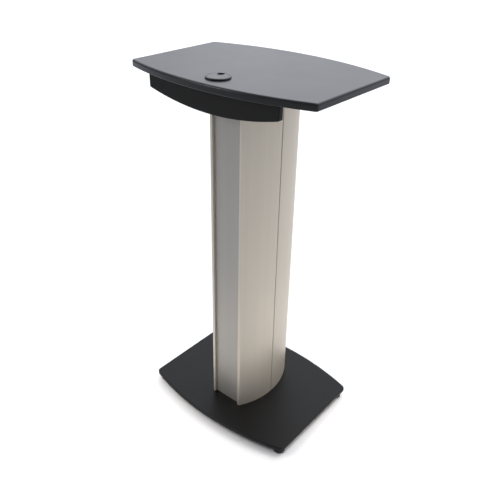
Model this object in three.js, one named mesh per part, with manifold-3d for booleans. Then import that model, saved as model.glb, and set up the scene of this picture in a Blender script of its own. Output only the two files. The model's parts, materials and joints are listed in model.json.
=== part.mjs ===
// A standing lectern: a black desk with bowed front and rear edges on a hollow aluminium column,
// which stands on a bowed steel base plate with four screw feet. A grommet in the desk takes a cable
// down behind a crescent-shaped fascia board, into the column and out at the foot of its rear panel.
//
// Millimetres, +Z up. The origin is on the floor under the middle of the column. The audience stands
// at -Y, the speaker at +Y, and +X is to the right as the audience sees it.

import * as THREE from "three";
import { mergeVertices } from "three/addons/utils/BufferGeometryUtils.js";
import Module from "manifold-3d";

const wasm = await Module();
wasm.setup();

// ---- Driving dimensions -------------------------------------------------------------------------

const GAP = 0.3; // clearance between pieces that touch

// A bowed plate has straight left and right sides, and front and rear edges that are shallow arcs.
const BASE = {
  width: 556,
  depth: 446.5, // between the middles of the two arcs
  frontRise: 42.7, // how far the front arc stands out from its own ends
  rearRise: 42.7,
  corner: 16,
  thickness: 12.5,
  topRound: 1.6,
  bottomRound: 1,
  roundSteps: 2,
};
const DESK = {
  width: 610,
  depth: 438,
  frontRise: 51.5,
  rearRise: 58.5,
  corner: 9,
  thickness: 19,
  topRound: 6,
  bottomRound: 2,
  roundSteps: 4,
};

const FOOT_HEIGHT = 22.5; // floor to the underside of the base plate
const COLUMN_TOP = 1088.4; // upper end of the column's extrusions
const PLATE_THICKNESS = 4; // steel plate between column and desk
const BASE_TOP = FOOT_HEIGHT + BASE.thickness;
const PLATE_BOTTOM = COLUMN_TOP + GAP;
const PLATE_TOP = PLATE_BOTTOM + PLATE_THICKNESS;
const DESK_BOTTOM = PLATE_TOP + GAP;
const DESK_TOP = DESK_BOTTOM + DESK.thickness;

// The column's section. It has four equal quarters, each with half of one bowed side.
const COLUMN = {
  halfWidth: 92.5, // centre line to the crown of a bowed side
  halfDepth: 126, // centre line to the front face of a lip
  sideRadius: 238.8,
  skin: 2.6,
  lipCorner: 5,
  lipInner: 48, // centre line to the inner edge of a lip
  lipEase: 1.4,
  seamHalfGap: 0.8,
  seamRound: 1.6,
};
const SIDE_CENTRE = COLUMN.halfWidth - COLUMN.sideRadius; // X of the bowed side's centre of curvature
const COLUMN_BOTTOM = BASE_TOP + GAP;

const PANEL = { face: 117.7, thickness: 3, halfWidth: 53.4, slotDepth: 54, flangeTip: 46, flange: 2.2 };
const CABLE_INLET_HEIGHT = 42; // open height between the front panel and the top plate
const CABLE_OUTLET = { width: 50, height: 24, corner: 8 };

const SPLINE = { thickness: 3, halfWidth: 11.8, hookWall: 2, hookTip: 8 };

// Screw ports inside the column, as distances from the seam along Y.
const PORT = { wall: 4.6, bore: 2.75, inset: 3.8, seamDistance: 26, lipDistance: 104 };

const FASCIA = {
  halfWidth: 215.9,
  face: 186.6, // centre line to the front face
  thickness: 16,
  endDrop: 55.6, // desk top to the lower edge at the ends
  middleDrop: 84.6,
  corner: 4,
  round: 2.2,
};
const GROMMET = {
  y: -153,
  hole: 25.5, // radius in the desk
  flange: 33,
  flangeHeight: 4.8,
  barrelDepth: 17,
  barrelWall: 2.2,
  seat: 28.6, // radius of the step that holds the cap
  seatHeight: 2.2,
  notchHalfWidth: 8.5,
  notchInner: 9,
  notchAngle: 112, // degrees from +X at rest
};
const RELIEF_DEPTH = 29; // how far the fascia is hollowed behind the grommet

const BRACKET = { x: 120, width: 42, leg: 26, shelf: 30, thickness: 2, screwOffset: 12 };
const TOP_PLATE = { halfWidth: 114, halfDepth: 125, corner: 12 };
const DESK_SCREW = { x: 103.5, spacing: 62 };

const FOOT = { x: 253.2, y: 159.6, radius: 18.6, pad: 14, nut: 8, acrossFlats: 17, engaged: 9.5 };
const STUD_RADIUS = 4.7; // M10
const STUD_IN_PAD = 6;
const BLIND_HOLE_DEPTH = 10.5;

const COUNTERSUNK = { head: 6.2, shank: 2.4, cone: 3.5, socket: 2.2, socketDepth: 2.2 };
const PAN_HEAD = { head: 4.4, shank: 1.9, height: 2.2, socket: 1.7, socketDepth: 1.4 };
const TIP_CHAMFER = 1; // at the end of a machine screw
const POINT_LENGTH = 3; // of a wood screw
const PILOT_STEPS = 10; // sides of a screw's hole
const BORE_GAP = 0.6; // a countersunk screw's clearance in a plate
const SINK_GAP = 0.4; // its head's clearance in the countersink
const BASE_SCREW_LENGTH = 34;
const PLATE_SCREW_LENGTH = 24;
const WOOD_SCREW_LENGTH = 15;
const FASCIA_SCREW_LENGTH = 12;

const ARC_STEPS = 26; // steps along a plate's long arc
const CORNER_STEPS = 4;
const SIDE_STEPS = 14; // steps along a quarter of the column's bowed side
const SCREW_STEPS = 10; // sides of a screw
const ROUND_STEPS = 36; // sides of the grommet

// ---- Finishes -----------------------------------------------------------------------------------

function finish(color, roughness, metalness) {
  return new THREE.MeshStandardMaterial({ color, roughness, metalness });
}

const blackLaminate = finish(0x1c1d1f, 0.35, 0);
const blackPaint = finish(0x232323, 0.55, 0);
const blackPowderCoat = finish(0x2b2b2c, 0.6, 0);
const anodised = finish(0xb9b5ad, 0.35, 0.9);
const panelAnodised = finish(0x9d9a95, 0.4, 0.9);
const blackPlastic = finish(0x1a1a1c, 0.45, 0);
const zinc = finish(0xb4b6b8, 0.35, 0.9);

// ---- Geometry helpers ---------------------------------------------------------------------------

const points2D = (list) => list.map(([x, y]) => new THREE.Vector2(x, y));

// Points of a circular arc from angle a0 to a1, in radians, both ends included.
function arc(cx, cy, radius, a0, a1, steps) {
  return new THREE.EllipseCurve(cx, cy, radius, radius, a0, a1, a1 < a0).getPoints(steps);
}

// A shape pulled along +Z from z0 to z1. With a round, its outline stays the shape's own.
function prism(points, z0, z1, round = 0, roundSteps = 3) {
  const geometry = new THREE.ExtrudeGeometry(new THREE.Shape(points), {
    depth: z1 - z0 - 2 * round,
    bevelEnabled: round > 0,
    bevelSize: round,
    bevelOffset: -round,
    bevelThickness: round,
    bevelSegments: roundSteps,
  });
  return geometry.translate(0, 0, z0 + round);
}

function box(x0, x1, y0, y1, z0, z1) {
  const geometry = new THREE.BoxGeometry(x1 - x0, y1 - y0, z1 - z0);
  return geometry.translate((x0 + x1) / 2, (y0 + y1) / 2, (z0 + z1) / 2);
}

// A solid of revolution about Z from a profile of [radius, height] pairs.
function turned(profile, steps) {
  return new THREE.LatheGeometry(points2D(profile), steps).rotateX(Math.PI / 2);
}

// A cylinder, or a prism when it has few steps, standing on Z between z0 and z1.
function post(x, y, radius, z0, z1, steps = 16) {
  const geometry = new THREE.CylinderGeometry(radius, radius, z1 - z0, steps);
  return geometry.rotateX(Math.PI / 2).translate(x, y, (z0 + z1) / 2);
}

function hexPost(acrossFlats, z0, z1) {
  return post(0, 0, acrossFlats / Math.sqrt(3), z0, z1, 6);
}

function toSolid(geometry) {
  const bare = geometry.clone();
  bare.deleteAttribute("normal");
  bare.deleteAttribute("uv");
  const merged = mergeVertices(bare, 1e-4);
  const vertProperties = new Float32Array(merged.attributes.position.array);
  const triVerts = new Uint32Array(merged.index.array);
  return new wasm.Manifold(new wasm.Mesh({ numProp: 3, vertProperties, triVerts }));
}

function toGeometry(solid) {
  const mesh = solid.getMesh();
  const geometry = new THREE.BufferGeometry();
  geometry.setAttribute("position", new THREE.BufferAttribute(mesh.vertProperties, 3));
  geometry.setIndex(new THREE.BufferAttribute(mesh.triVerts, 1));
  geometry.computeVertexNormals();
  return geometry;
}

function join(...geometries) {
  return toGeometry(geometries.map(toSolid).reduce((a, b) => a.add(b)));
}

function cut(geometry, ...tools) {
  return toGeometry(tools.map(toSolid).reduce((a, b) => a.subtract(b), toSolid(geometry)));
}

function common(a, b) {
  return toGeometry(toSolid(a).intersect(toSolid(b)));
}

const root = new THREE.Group();

function add(name, geometry, material, parent = root) {
  const mesh = new THREE.Mesh(geometry, material);
  mesh.name = name;
  parent.add(mesh);
  return mesh;
}

// Every left and right, front and rear copy: its name ending and the signs of its X and Y.
const SIDES = [["left", -1], ["right", 1]];
const ENDS = [["front", -1], ["rear", 1]];
const QUARTERS = ENDS.flatMap(([end, sy]) => SIDES.map(([side, sx]) => [`${end}_${side}`, sx, sy]));

// ---- Bowed plates -------------------------------------------------------------------------------

// Outline of a bowed plate. Each corner is an arc tangent to the straight side and to the bowed edge.
function bowedOutline(plate) {
  const half = plate.width / 2;
  const x = half - plate.corner;
  const edges = [[-1, plate.frontRise], [1, plate.rearRise]].map(([sign, rise]) => {
    const radius = (half * half + rise * rise) / (2 * rise);
    const centreY = sign * (plate.depth / 2 - radius);
    const cornerY = centreY + sign * Math.sqrt((radius - plate.corner) ** 2 - x * x);
    const angle = Math.acos(x / (radius - plate.corner));
    return { radius, centreY, cornerY, angle };
  });
  const [front, rear] = edges;
  return [
    ...arc(0, front.centreY, front.radius, front.angle - Math.PI, -front.angle, ARC_STEPS).slice(1),
    ...arc(x, front.cornerY, plate.corner, -front.angle, 0, CORNER_STEPS).slice(1),
    ...arc(x, rear.cornerY, plate.corner, 0, rear.angle, CORNER_STEPS),
    ...arc(0, rear.centreY, rear.radius, rear.angle, Math.PI - rear.angle, ARC_STEPS).slice(1),
    ...arc(-x, rear.cornerY, plate.corner, Math.PI - rear.angle, Math.PI, CORNER_STEPS).slice(1),
    ...arc(-x, front.cornerY, plate.corner, -Math.PI, front.angle - Math.PI, CORNER_STEPS),
  ];
}

// A bowed plate between bottom and bottom + thickness. Its top and bottom edges have different
// rounds, so it is what two longer plates, each rounded for one face, have in common.
function bowedPlate(plate, bottom) {
  const outline = bowedOutline(plate);
  const top = bottom + plate.thickness;
  const spare = plate.thickness;
  const lower = prism(outline, bottom, top + spare, plate.bottomRound, plate.roundSteps / 2);
  const upper = prism(outline, bottom - spare, top, plate.topRound, plate.roundSteps);
  return common(lower, upper);
}

// ---- Screws, pointing along +Z from the outer face of the head ----------------------------------

function countersunkScrew(length) {
  const { head, shank, cone, socket, socketDepth } = COUNTERSUNK;
  const top = [[0, 0], [head, 0], [shank, cone]];
  const tip = [[shank, length - TIP_CHAMFER], [shank - TIP_CHAMFER, length], [0, length]];
  const blank = turned([...top, ...tip], SCREW_STEPS);
  return cut(blank, hexPost(2 * socket, -1, socketDepth));
}

function panHeadScrew(length) {
  const { head, shank, height, socket, socketDepth } = PAN_HEAD;
  const dome = [[0, 0], [head * 0.6, 0], [head * 0.9, height * 0.3], [head, height]];
  const tip = [[shank, length - POINT_LENGTH], [0, length]];
  const blank = turned([...dome, [shank, height], ...tip], SCREW_STEPS);
  return cut(blank, hexPost(2 * socket, -1, socketDepth));
}

// The hole for a countersunk screw through a plate, along +Z from the face with the head.
function countersink(thickness) {
  const { head, cone, shank } = COUNTERSUNK;
  const bore = shank + BORE_GAP;
  const mouth = head + SINK_GAP;
  const sink = [[0, -1], [mouth + 1, -1], [mouth, 0], [bore, cone]];
  return turned([...sink, [bore, thickness + 1], [0, thickness + 1]], SCREW_STEPS);
}

// The hole for a wood screw.
function pilot(x, y, z0, z1) {
  return post(x, y, PAN_HEAD.shank + GAP, z0, z1, PILOT_STEPS);
}

// ---- Column -------------------------------------------------------------------------------------

// X of the arc that lies inside the bowed side's outer face by depth, at distance v from the seam.
function sideX(v, depth = 0) {
  return SIDE_CENTRE + Math.sqrt((COLUMN.sideRadius - depth) ** 2 - v * v);
}

// The two screw ports of a quarter, as [x, distance from the seam].
const PORTS = [PORT.seamDistance, PORT.lipDistance].map((v) => [sideX(v, COLUMN.skin + PORT.inset), v]);

// The place of every screw port of the column, as [x, y, name ending].
function portPlaces() {
  return QUARTERS.flatMap(([place, sx, sy]) =>
    PORTS.map(([x, v], i) => [sx * x, sy * v, `${place}_${i + 1}`]),
  );
}

// Section of the quarter at +X, with the distance from the seam as its second coordinate.
function quarterSection() {
  const { sideRadius, halfDepth, skin, lipCorner, lipInner, lipEase, seamHalfGap, seamRound } = COLUMN;
  const seamV = seamHalfGap + seamRound;
  const seamX = SIDE_CENTRE + Math.sqrt((sideRadius - seamRound) ** 2 - seamV * seamV);
  const seamAngle = Math.asin(seamV / (sideRadius - seamRound));
  const cornerV = halfDepth - lipCorner;
  const cornerX = SIDE_CENTRE + Math.sqrt((sideRadius - lipCorner) ** 2 - cornerV * cornerV);
  const cornerAngle = Math.asin(cornerV / (sideRadius - lipCorner));
  const slotFront = PANEL.face + GAP;
  const slotRear = PANEL.face - PANEL.thickness - GAP;
  const flangeRear = slotRear - PANEL.flange;
  const hookOuter = SPLINE.halfWidth + 0.4 + SPLINE.hookWall;
  const hookTop = COLUMN.halfWidth - skin - GAP - SPLINE.thickness - GAP;
  const inner = sideRadius - skin;
  return [
    ...arc(seamX, seamV, seamRound, -Math.PI / 2, seamAngle, 3),
    ...arc(SIDE_CENTRE, 0, sideRadius, seamAngle, cornerAngle, SIDE_STEPS).slice(1),
    ...arc(cornerX, cornerV, lipCorner, cornerAngle, Math.PI / 2, CORNER_STEPS).slice(1),
    ...arc(lipInner + lipEase, halfDepth - lipEase, lipEase, Math.PI / 2, Math.PI, 2),
    ...points2D([[lipInner, slotFront], [PANEL.slotDepth, slotFront], [PANEL.slotDepth, slotRear]]),
    ...points2D([[PANEL.flangeTip, slotRear], [PANEL.flangeTip, flangeRear]]),
    ...arc(SIDE_CENTRE, 0, inner, Math.asin(flangeRear / inner), Math.asin(hookOuter / inner), SIDE_STEPS),
    ...points2D([
      [hookTop - SPLINE.hookWall, hookOuter],
      [hookTop - SPLINE.hookWall, SPLINE.hookTip],
      [hookTop, SPLINE.hookTip],
      [hookTop, hookOuter - SPLINE.hookWall],
      [sideX(hookOuter - SPLINE.hookWall, skin), hookOuter - SPLINE.hookWall],
      [sideX(seamHalfGap, skin), seamHalfGap],
    ]),
  ];
}

// One quarter of the column: half of a bowed side, a lip, a slot for the panel, a hook for the
// spline and two round screw ports that run its whole length.
function columnQuarter(sx, sy) {
  const section = quarterSection().map((p) => new THREE.Vector2(sx * p.x, sy * p.y));
  const portPost = (radius, over) =>
    PORTS.map(([x, v]) => post(sx * x, sy * v, radius, COLUMN_BOTTOM - over, COLUMN_TOP + over));
  const walls = portPost(PORT.wall, 0);
  const bores = portPost(PORT.bore, 1);
  return cut(join(prism(section, COLUMN_BOTTOM, COLUMN_TOP), ...walls), ...bores);
}

// The front panel stops short of the top plate, which leaves the way in for the cable.
function frontPanel() {
  const { halfWidth, face, thickness } = PANEL;
  const top = COLUMN_TOP - CABLE_INLET_HEIGHT;
  return box(-halfWidth, halfWidth, -face, thickness - face, COLUMN_BOTTOM, top);
}

// The rear panel has full height, and a round-cornered notch at its foot where the cable leaves.
function rearPanel() {
  const { halfWidth, face, thickness } = PANEL;
  const { width, height, corner } = CABLE_OUTLET;
  const x = width / 2 - corner;
  const notch = [
    ...points2D([[-width / 2, -corner], [width / 2, -corner]]),
    ...arc(x, height - corner, corner, 0, Math.PI / 2, CORNER_STEPS),
    ...arc(-x, height - corner, corner, Math.PI / 2, Math.PI, CORNER_STEPS),
  ];
  const tool = prism(notch, -face - 1, thickness - face + 1).rotateX(Math.PI / 2);
  const sheet = box(-halfWidth, halfWidth, face - thickness, face, COLUMN_BOTTOM, COLUMN_TOP);
  return cut(sheet, tool.translate(0, 0, COLUMN_BOTTOM));
}

// A flat bar in the hooks behind a seam keeps the two quarters flush, and closes the gap from inside.
function seamSpline(sx) {
  const outer = sideX(SPLINE.halfWidth, COLUMN.skin) - GAP;
  const [x0, x1] = [sx * outer, sx * (outer - SPLINE.thickness)].sort((a, b) => a - b);
  return box(x0, x1, -SPLINE.halfWidth, SPLINE.halfWidth, COLUMN_BOTTOM, COLUMN_TOP);
}

function buildColumn() {
  for (const [place, sx, sy] of QUARTERS) add(`column_${place}`, columnQuarter(sx, sy), anodised);
  for (const [side, sx] of SIDES) add(`seam_spline_${side}`, seamSpline(sx), panelAnodised);
  add("front_panel", frontPanel(), panelAnodised);
  add("rear_panel", rearPanel(), panelAnodised);
}

// ---- Base ---------------------------------------------------------------------------------------

function basePlate() {
  const ports = portPlaces().map(([x, y]) => countersink(BASE.thickness).translate(x, y, FOOT_HEIGHT));
  const studs = QUARTERS.map(([, sx, sy]) =>
    post(sx * FOOT.x, sy * FOOT.y, STUD_RADIUS + GAP, FOOT_HEIGHT - 1, FOOT_HEIGHT + BLIND_HOLE_DEPTH),
  );
  return cut(bowedPlate(BASE, FOOT_HEIGHT), ...ports, ...studs);
}

function footPad() {
  const { radius, pad } = FOOT;
  const socket = STUD_RADIUS + GAP;
  const floor = pad - STUD_IN_PAD - GAP;
  const rim = [[0, 0], [radius - 1.8, 0], [radius, 1.8], [radius, 9.5], [radius - 1.4, 11.4], [11.5, pad]];
  return turned([...rim, [socket, pad], [socket, floor], [0, floor]], 24);
}

// The stud of a foot: a plain round for the thread, and a hexagon that a spanner turns.
function footStud() {
  const { pad, nut, acrossFlats, engaged } = FOOT;
  const bottom = pad - STUD_IN_PAD;
  const rod = post(0, 0, STUD_RADIUS, bottom, FOOT_HEIGHT + engaged);
  const hexagon = hexPost(acrossFlats, pad + GAP, pad + GAP + nut - 0.1);
  return join(rod, hexagon);
}

function buildBase() {
  add("base_plate", basePlate(), blackPowderCoat);
  for (const [place, sx, sy] of QUARTERS) {
    const foot = new THREE.Group();
    foot.position.set(sx * FOOT.x, sy * FOOT.y, 0);
    root.add(foot);
    add(`foot_pad_${place}`, footPad(), blackPlastic, foot);
    add(`foot_stud_${place}`, footStud(), zinc, foot);
  }
  for (const [x, y, place] of portPlaces()) {
    const screw = add(`base_screw_${place}`, countersunkScrew(BASE_SCREW_LENGTH), zinc);
    screw.position.set(x, y, FOOT_HEIGHT);
  }
}

// ---- Desk ---------------------------------------------------------------------------------------

function deskScrewPlaces() {
  return SIDES.flatMap(([side, sx]) =>
    [-1, 0, 1].map((row) => [`${side}_${row + 2}`, sx * DESK_SCREW.x, row * DESK_SCREW.spacing]),
  );
}

// Screws that go up through a bracket into the desk, as [name ending, x, y].
function bracketScrewPlaces() {
  const y = FASCIA.thickness + BRACKET.shelf - 10 - FASCIA.face;
  return SIDES.flatMap(([side, sx]) =>
    [-1, 1].map((k) => [`${side}_${(k + 3) / 2}`, sx * BRACKET.x + k * BRACKET.screwOffset, y]),
  );
}

function desktop() {
  const pilots = [...deskScrewPlaces(), ...bracketScrewPlaces()].map(([, x, y]) =>
    pilot(x, y, DESK_BOTTOM - 1, DESK_BOTTOM + WOOD_SCREW_LENGTH - 2),
  );
  const hole = post(0, GROMMET.y, GROMMET.hole, DESK_BOTTOM - 1, DESK_TOP + 1, ROUND_STEPS);
  return cut(bowedPlate(DESK, DESK_BOTTOM), hole, ...pilots);
}

// A flange that lies on the desk with a step for the cap, and a barrel that lines the hole.
function grommetLiner() {
  const { hole, flange, flangeHeight, barrelDepth, barrelWall, seat, seatHeight } = GROMMET;
  const outer = hole - GAP;
  const inner = outer - barrelWall;
  const profile = [
    [inner, -barrelDepth],
    [outer, -barrelDepth],
    [outer, GAP],
    [flange, GAP],
    [flange, flangeHeight - 1.8],
    [flange - 0.6, flangeHeight - 0.5],
    [flange - 1.8, flangeHeight],
    [seat, flangeHeight],
    [seat, seatHeight],
    [inner, seatHeight],
    [inner, -barrelDepth],
  ];
  return turned(profile, ROUND_STEPS).translate(0, GROMMET.y, DESK_TOP);
}

// A disc in the step, with a skirt inside the barrel, and a round-ended notch for the cable.
function grommetCap() {
  const { hole, flangeHeight, barrelWall, seat, seatHeight } = GROMMET;
  const { notchHalfWidth, notchInner, notchAngle } = GROMMET;
  const skirt = hole - GAP - barrelWall - GAP;
  const skirtBottom = -5;
  const disc = seat - GAP;
  const underside = seatHeight + GAP;
  const profile = [
    [0, underside],
    [skirt - 1.8, underside],
    [skirt - 1.8, skirtBottom],
    [skirt, skirtBottom],
    [skirt, underside],
    [disc, underside],
    [disc, flangeHeight - 0.4],
    [disc - 1, flangeHeight],
    [0, flangeHeight + 0.6],
  ];
  const notchEnd = notchInner + notchHalfWidth;
  const notch = [
    ...arc(notchEnd, 0, notchHalfWidth, Math.PI / 2, (3 * Math.PI) / 2, 8),
    ...points2D([[disc + 4, -notchHalfWidth], [disc + 4, notchHalfWidth]]),
  ];
  const tool = prism(notch, skirtBottom - 1, flangeHeight + 2);
  tool.rotateZ(THREE.MathUtils.degToRad(notchAngle));
  return cut(turned(profile, ROUND_STEPS), tool).translate(0, GROMMET.y, DESK_TOP);
}

// Outline of the fascia in X and Z: straight along the desk, with a lower edge that is one arc.
function fasciaOutline() {
  const { halfWidth, endDrop, middleDrop, corner } = FASCIA;
  const rise = middleDrop - endDrop;
  const radius = (halfWidth * halfWidth + rise * rise) / (2 * rise);
  const centreZ = DESK_TOP - middleDrop + radius;
  const x = halfWidth - corner;
  const cornerZ = centreZ - Math.sqrt((radius - corner) ** 2 - x * x);
  const angle = Math.atan2(centreZ - cornerZ, x);
  return [
    ...points2D([[halfWidth, DESK_BOTTOM - GAP], [-halfWidth, DESK_BOTTOM - GAP]]),
    ...arc(-x, cornerZ, corner, -Math.PI, angle - Math.PI, CORNER_STEPS),
    ...arc(0, centreZ, radius, angle - Math.PI, -angle, ARC_STEPS).slice(1, -1),
    ...arc(x, cornerZ, corner, -angle, 0, CORNER_STEPS),
  ];
}

// Screws that go forward through a bracket into the fascia, as [name ending, x, z].
function fasciaScrewPlaces() {
  const z = DESK_BOTTOM - GAP - BRACKET.leg + 8;
  return bracketScrewPlaces().map(([place, x]) => [place, x, z]);
}

function fascia() {
  const { face, thickness, round } = FASCIA;
  const board = prism(fasciaOutline(), face - thickness, face, round).rotateX(Math.PI / 2);
  const relief = post(0, GROMMET.y, GROMMET.hole, DESK_BOTTOM - RELIEF_DEPTH, DESK_BOTTOM + 1, ROUND_STEPS);
  const rear = face - thickness;
  const pilots = fasciaScrewPlaces().map(([, x, z]) =>
    pilot(x, z, rear - 1, rear + FASCIA_SCREW_LENGTH - 1.5).rotateX(Math.PI / 2),
  );
  return cut(board, relief, ...pilots);
}

// An angle bracket: one leg down the back of the fascia, one shelf back along the desk's underside.
function fasciaBracket(sx) {
  const { x, width, leg, shelf, thickness, screwOffset } = BRACKET;
  const [x0, x1] = [sx * x - width / 2, sx * x + width / 2];
  const y0 = FASCIA.thickness - FASCIA.face + GAP;
  const z1 = DESK_BOTTOM - GAP;
  const angle = join(
    box(x0, x1, y0, y0 + thickness, z1 - leg, z1),
    box(x0, x1, y0, y0 + shelf, z1 - thickness, z1),
  );
  const onThisSide = ([, px]) => Math.sign(px) === sx;
  const up = bracketScrewPlaces().filter(onThisSide).map(([, px, py]) =>
    pilot(px, py, z1 - thickness - 1, z1 + 1),
  );
  const forward = fasciaScrewPlaces().filter(onThisSide).map(([, px, pz]) =>
    pilot(px, pz, -y0 - thickness - 1, -y0 + 1).rotateX(Math.PI / 2),
  );
  return cut(angle, ...up, ...forward);
}

// The steel plate that joins column and desk.
function topPlate() {
  const { halfWidth, halfDepth, corner } = TOP_PLATE;
  const outline = [[1, 1, 0], [-1, 1, 1], [-1, -1, 2], [1, -1, 3]].flatMap(([sx, sy, turn]) => {
    const [x, y] = [sx * (halfWidth - corner), sy * (halfDepth - corner)];
    const start = (turn * Math.PI) / 2;
    return arc(x, y, corner, start, start + Math.PI / 2, CORNER_STEPS);
  });
  const sink = () => countersink(PLATE_THICKNESS).rotateX(Math.PI);
  const ports = portPlaces().map(([x, y]) => sink().translate(x, y, PLATE_TOP));
  const holes = deskScrewPlaces().map(([, x, y]) => pilot(x, y, PLATE_BOTTOM - 1, PLATE_TOP + 1));
  return cut(prism(outline, PLATE_BOTTOM, PLATE_TOP), ...ports, ...holes);
}

function buildDesk() {
  add("desktop", desktop(), blackLaminate);
  add("grommet_liner", grommetLiner(), blackPlastic);
  add("grommet_cap", grommetCap(), blackPlastic);
  add("fascia", fascia(), blackPaint);
  for (const [side, sx] of SIDES) add(`fascia_bracket_${side}`, fasciaBracket(sx), zinc);
  add("top_plate", topPlate(), blackPowderCoat);

  for (const [x, y, place] of portPlaces()) {
    const screw = add(`top_plate_screw_${place}`, countersunkScrew(PLATE_SCREW_LENGTH), zinc);
    screw.rotation.x = Math.PI;
    screw.position.set(x, y, PLATE_TOP);
  }
  for (const [place, x, y] of deskScrewPlaces()) {
    const screw = add(`desk_screw_${place}`, panHeadScrew(WOOD_SCREW_LENGTH), zinc);
    screw.position.set(x, y, PLATE_BOTTOM - PAN_HEAD.height - GAP);
  }
  for (const [place, x, y] of bracketScrewPlaces()) {
    const screw = add(`bracket_screw_${place}`, panHeadScrew(FASCIA_SCREW_LENGTH), zinc);
    screw.position.set(x, y, DESK_BOTTOM - GAP - BRACKET.thickness - PAN_HEAD.height - GAP);
  }
  for (const [place, x, z] of fasciaScrewPlaces()) {
    const screw = add(`fascia_screw_${place}`, panHeadScrew(FASCIA_SCREW_LENGTH), zinc);
    const y = FASCIA.thickness - FASCIA.face + BRACKET.thickness + PAN_HEAD.height + 2 * GAP;
    screw.rotation.x = Math.PI / 2;
    screw.position.set(x, y, z);
  }
}

buildBase();
buildColumn();
buildDesk();

export default root;
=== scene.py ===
# %% [markdown]
# # A lectern stand, finished in Blender
#
# The lectern comes out of CAD as a frame of plain solids in their right places. This lesson gives it
# the look of the real thing: a black laminated desk, a crescent fascia, a column of anodised
# aluminium extrusions and a powder-coated steel base on screw feet.
#
# The frame fixes where everything is. A piece that is made here takes its place and its size from the
# CAD node it stands for, moves with that node's body, and hides that node. Lengths are worked out in
# millimetres, as on a drawing, and turned to metres when a mesh is made.

# %% Load the frame
import json
import math

import bmesh
import bpy
import numpy as np
from mathutils import Matrix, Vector
from mathutils.geometry import tessellate_polygon

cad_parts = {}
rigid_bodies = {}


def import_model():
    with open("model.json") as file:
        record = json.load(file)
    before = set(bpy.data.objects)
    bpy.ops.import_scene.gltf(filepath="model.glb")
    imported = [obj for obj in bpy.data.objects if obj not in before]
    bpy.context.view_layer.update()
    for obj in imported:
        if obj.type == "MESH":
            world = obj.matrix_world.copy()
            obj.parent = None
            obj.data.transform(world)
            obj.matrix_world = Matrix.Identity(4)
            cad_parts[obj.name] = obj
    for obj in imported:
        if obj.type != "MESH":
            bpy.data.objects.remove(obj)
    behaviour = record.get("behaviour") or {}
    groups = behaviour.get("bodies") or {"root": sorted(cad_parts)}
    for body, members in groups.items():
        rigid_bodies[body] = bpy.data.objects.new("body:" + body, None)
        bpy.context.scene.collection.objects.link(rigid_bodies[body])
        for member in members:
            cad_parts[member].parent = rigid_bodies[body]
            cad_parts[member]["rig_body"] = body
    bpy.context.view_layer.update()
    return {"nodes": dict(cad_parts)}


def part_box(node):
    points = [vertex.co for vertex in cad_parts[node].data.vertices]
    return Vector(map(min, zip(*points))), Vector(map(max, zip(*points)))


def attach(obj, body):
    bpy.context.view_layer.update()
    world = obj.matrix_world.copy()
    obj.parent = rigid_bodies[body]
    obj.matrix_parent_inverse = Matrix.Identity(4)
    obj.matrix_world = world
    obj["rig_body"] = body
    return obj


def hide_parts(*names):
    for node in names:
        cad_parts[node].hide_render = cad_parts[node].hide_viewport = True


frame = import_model()
MM = 0.001
TAU = 2 * math.pi


def box_mm(node):
    """Lowest and highest corner of a CAD node at rest, in millimetres."""
    low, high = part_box(node)
    return np.array(low) / MM, np.array(high) / MM


# %% [markdown]
# ## Camera
#
# The camera stands to the right of the front, 0.4 m above the desk, and looks down at 30 degrees. A
# camera is aimed by the three axes of its own frame: its X points right in the picture, its Y up and
# its Z backwards, away from what it sees. Writing those axes as the columns of a matrix is exact,
# where a chain of Euler angles would be easy to get in the wrong order.

# %% Camera
CAMERA_PLACE = (1.0148, -1.2599, 1.4941)
TURN, DIP, ROLL = np.radians([39.19, 30.11, 1.22])

ahead = np.array([-math.sin(TURN) * math.cos(DIP), math.cos(TURN) * math.cos(DIP), -math.sin(DIP)])
level = np.cross(ahead, [0, 0, 1])
level /= np.linalg.norm(level)
upright = np.cross(level, ahead)
right = level * math.cos(ROLL) + upright * math.sin(ROLL)
up = upright * math.cos(ROLL) - level * math.sin(ROLL)

camera_data = bpy.data.cameras.new("camera")
camera_data.sensor_width = 36
camera_data.lens = 43.65
camera = bpy.data.objects.new("camera", camera_data)
camera_axes = Matrix(np.array([right, up, -ahead]).T).to_4x4()
camera.matrix_world = Matrix.Translation(CAMERA_PLACE) @ camera_axes
bpy.context.scene.collection.objects.link(camera)
bpy.context.scene.camera = camera
print("camera at", [round(x, 2) for x in CAMERA_PLACE], "with a", camera_data.lens, "mm lens")

# %% [markdown]
# ## Colours and nodes
#
# Paint and plastic colours are usually given as sRGB hex codes, but a shader works with linear light.
# One function turns the first into the second. Another adds a node to a material with its settings
# and its links in one call, so each material below reads as a list of what it is made of.

# %% Colour and node helpers
def linear(code):
    """Linear RGBA of an sRGB hex code: below 0.04045 the code is divided by 12.92, and above it
    the sum with 0.055, divided by 1.055, is raised to the power 2.4."""
    srgb = np.array([int(code[i:i + 2], 16) for i in (1, 3, 5)]) / 255
    light = np.where(srgb <= 0.04045, srgb / 12.92, ((srgb + 0.055) / 1.055) ** 2.4)
    return (*light.tolist(), 1.0)


def add_node(tree, kind, inputs=(), **settings):
    """Adds a node. settings are its own properties. inputs gives each input socket, by its name or
    number, a value or the output socket that feeds it."""
    node = tree.nodes.new(kind)
    for name, value in settings.items():
        setattr(node, name, value)
    for key, value in dict(inputs).items():
        if isinstance(value, bpy.types.NodeSocket):
            tree.links.new(value, node.inputs[key])
        else:
            node.inputs[key].default_value = value
    return node


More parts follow.
